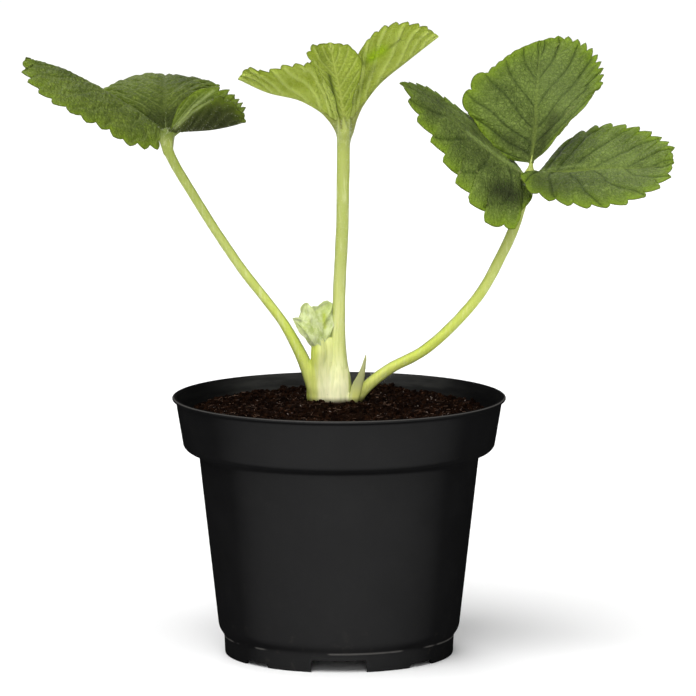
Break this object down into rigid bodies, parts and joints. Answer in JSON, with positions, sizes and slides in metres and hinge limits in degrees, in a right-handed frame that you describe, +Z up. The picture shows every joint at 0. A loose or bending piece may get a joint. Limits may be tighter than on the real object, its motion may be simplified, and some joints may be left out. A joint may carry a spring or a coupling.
{
  "type": "potted strawberry plant",
  "caption": "Young strawberry plant in a round black nursery pot: toothed three-part leaves on arching stalks, a folded young leaf, a pale crown and dark peat soil",
  "frame": {"origin": "middle of the pot's foot, on the surface that the pot stands on", "axes": "+Z up; +X to the right in the picture, the widest spread of the leaves; +Y away from the viewer"},
  "size_m": [0.2311, 0.12, 0.2293],
  "materials": {
    "pot_plastic": "satin black, moulded",
    "peat": "moist crumbly peat with light fibres",
    "crown": "pale fleshy sheaths, satin",
    "stalk": "yellow-green with fine hairs",
    "leaf_green": "veined green upper face, paler dull underside",
    "leaf_pale": "pale yellow-green, pleated, dull underside",
    "leaf_young": "pale mint, downy, crumpled"
  },
  "bodies": {
    "root": {"pot": "pot_plastic", "soil": "peat", "crown": "crown", "young_leaf": "leaf_young", "left_petiole": "stalk", "centre_petiole": "stalk", "right_petiole": "stalk", "left_outer_leaflet": "leaf_green", "left_middle_leaflet": "leaf_green", "left_inner_leaflet": "leaf_green", "centre_left_leaflet": "leaf_pale", "centre_middle_leaflet": "leaf_pale", "centre_right_leaflet": "leaf_pale", "right_inner_leaflet": "leaf_green", "right_middle_leaflet": "leaf_green", "right_outer_leaflet": "leaf_green"}
  },
  "joints": []
}
